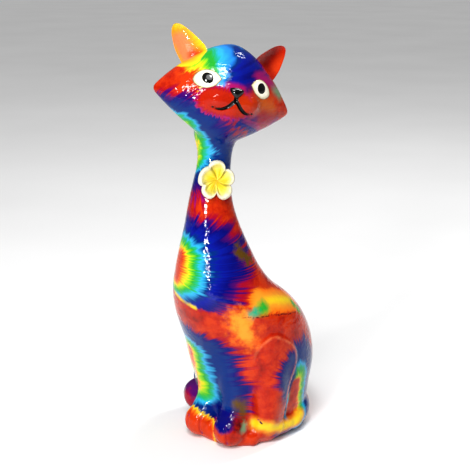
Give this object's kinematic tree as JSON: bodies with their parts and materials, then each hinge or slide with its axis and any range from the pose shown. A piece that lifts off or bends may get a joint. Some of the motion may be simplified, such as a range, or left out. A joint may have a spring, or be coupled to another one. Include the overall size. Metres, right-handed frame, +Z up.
{
  "type": "resin cat figurine",
  "caption": "Tall seated cat figurine with a long neck, wide pointed cheeks, a turned head and a modelled flower glued below the chin, in glossy tie-dye painted resin.",
  "frame": {"origin": "middle of the underside's bounding box, on the surface that the figurine stands on", "axes": "+Z up the cat's height, -Y the way its body and front paws face, +X towards its left, where the head turns"},
  "size_m": [0.0814, 0.0992, 0.2501],
  "materials": {
    "glazed_resin": "tie-dye paint in red, orange, yellow, green, cyan, blue and purple under a glossy clear coat",
    "painted_clay": "yellow and cream paint, satin"
  },
  "bodies": {
    "root": {"cat_figure": "glazed_resin", "neck_flower": "painted_clay"}
  },
  "joints": []
}
